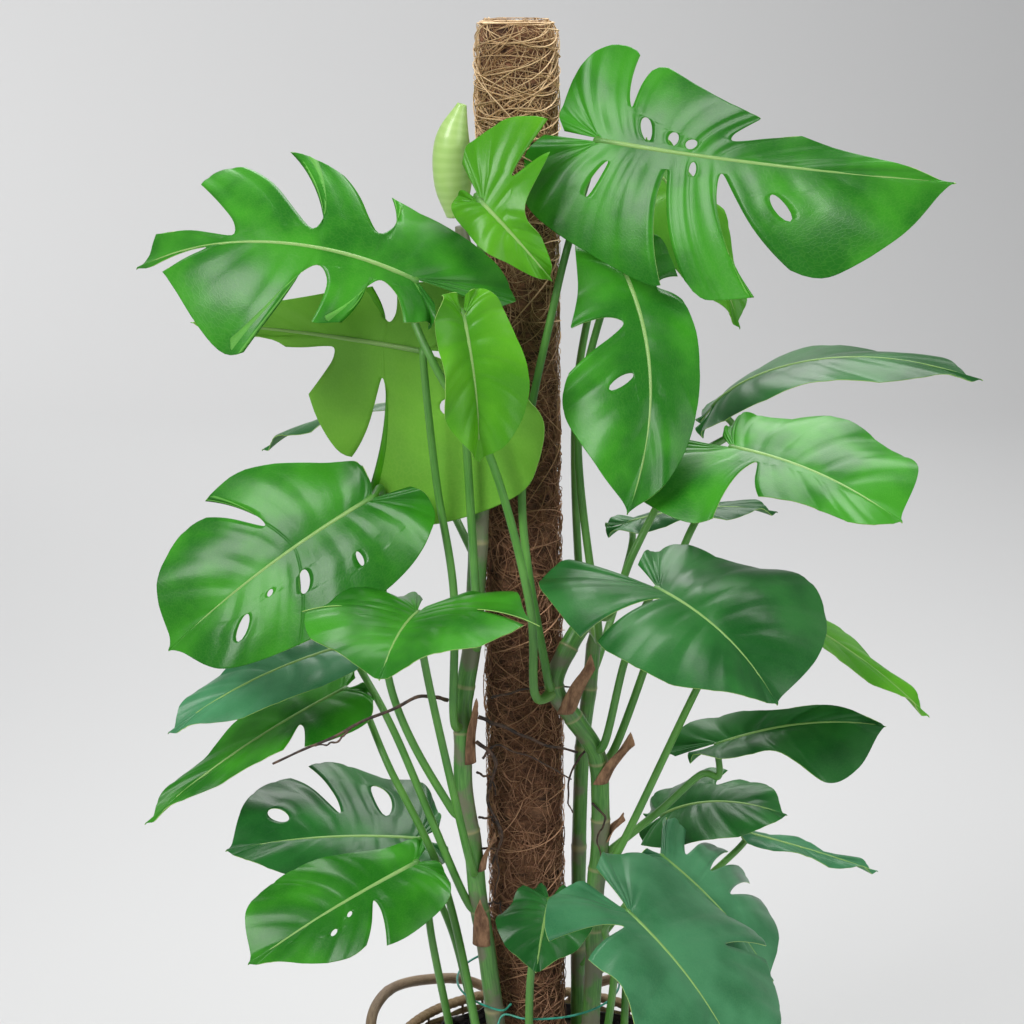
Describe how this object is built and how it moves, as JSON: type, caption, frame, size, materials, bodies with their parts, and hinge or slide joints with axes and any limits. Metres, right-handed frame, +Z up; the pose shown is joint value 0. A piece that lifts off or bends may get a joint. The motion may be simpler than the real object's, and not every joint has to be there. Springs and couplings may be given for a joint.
{
  "type": "potted monstera plant",
  "caption": "Climbing split-leaf houseplant with large holed leaves, trained up a round coir pole and rooted in soil in a film-lined rattan basket with side handles.",
  "frame": {"origin": "centre of the basket's underside, on the floor it stands on", "axes": "+Z up along the coir pole, +Y toward the back of the plant, +X to the right as seen from the front"},
  "size_m": [0.8806, 0.5168, 1.4204],
  "materials": {
    "rattan": "matte",
    "rattan_handle": "satin",
    "black_film": "satin",
    "potting_soil": "matte",
    "coir": "matte",
    "stem_green": "satin",
    "new_leaf_green": "satin",
    "root_brown": "matte",
    "green_wire": "satin",
    "leaf_green": "satin",
    "leaf_dark": "satin",
    "leaf_bright": "satin",
    "leaf_blue": "satin"
  },
  "bodies": {
    "root": {"aerial_root_1": "root_brown", "aerial_root_2": "root_brown", "aerial_root_3": "root_brown", "basket": "rattan", "basket_handle_left": "rattan_handle", "basket_handle_right": "rattan_handle", "leaf_01": "leaf_green", "leaf_02": "leaf_bright", "leaf_03": "leaf_green", "leaf_04": "leaf_green", "leaf_05": "leaf_green", "leaf_06": "leaf_dark", "leaf_07": "leaf_green", "leaf_08": "leaf_green", "leaf_09": "leaf_green", "leaf_10": "leaf_blue", "leaf_11": "leaf_green", "leaf_12": "leaf_dark", "leaf_13": "leaf_bright", "leaf_14": "leaf_green", "leaf_15": "leaf_blue", "leaf_16": "leaf_blue", "leaf_17": "leaf_green", "leaf_18": "leaf_blue", "leaf_19": "leaf_green", "leaf_20": "leaf_bright", "leaf_21": "leaf_green", "leaf_22": "leaf_bright", "leaf_23": "leaf_dark", "leaf_24": "leaf_bright", "leaf_25": "leaf_bright", "liner": "black_film", "moss_pole": "coir", "new_leaf": "new_leaf_green", "soil": "potting_soil", "stem_back": "stem_green", "stem_left": "stem_green", "stem_right": "stem_green", "tie_wire": "green_wire"}
  },
  "joints": []
}
